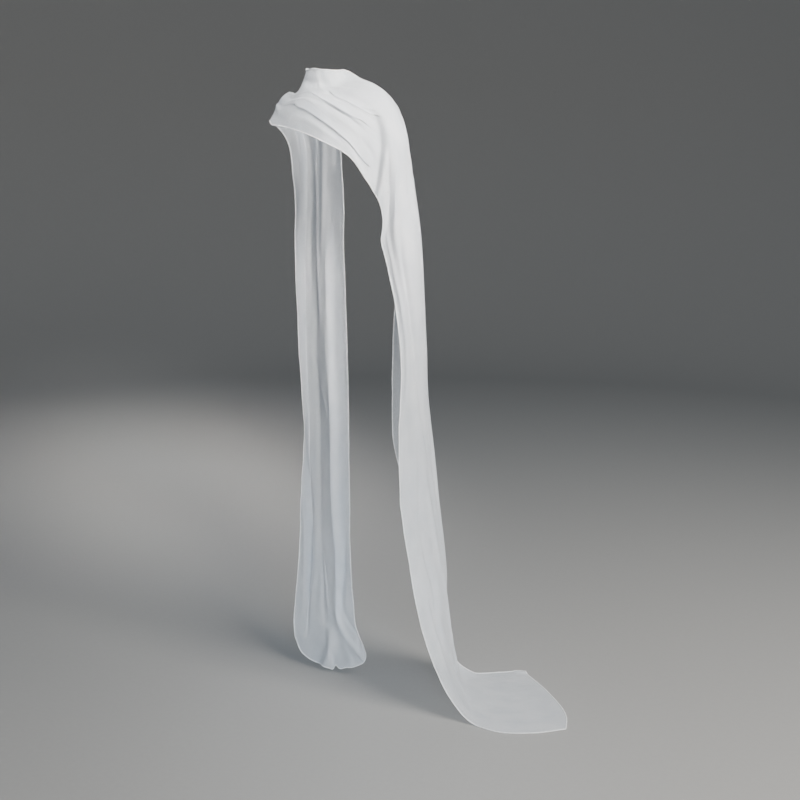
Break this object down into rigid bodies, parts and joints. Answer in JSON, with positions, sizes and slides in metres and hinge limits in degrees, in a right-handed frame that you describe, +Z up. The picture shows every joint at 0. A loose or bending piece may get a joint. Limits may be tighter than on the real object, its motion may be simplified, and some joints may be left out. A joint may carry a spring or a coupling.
{
  "type": "long chiffon scarf, worn",
  "caption": "Long sheer scarf as worn: hangs down the back, wraps the right shoulder, throat and chest in fanning pleats, capes the left arm and falls to the floor.",
  "frame": {"origin": "middle of the base of the wearer's neck, where the neck and shoulders hold the scarf up", "axes": "+Z up, the wearer faces -Y, +X is the wearer's left"},
  "size_m": [0.742, 0.466, 1.4674],
  "materials": {
    "chiffon": "pale blue-white sheer chiffon, fine plain weave, matt with a faint soft sheen, narrow rolled hems"
  },
  "bodies": {
    "root": {"back_tail": "chiffon", "right_shoulder": "chiffon", "front_drape": "chiffon", "left_shoulder": "chiffon", "arm_streamer": "chiffon", "floor_train": "chiffon"}
  },
  "joints": []
}
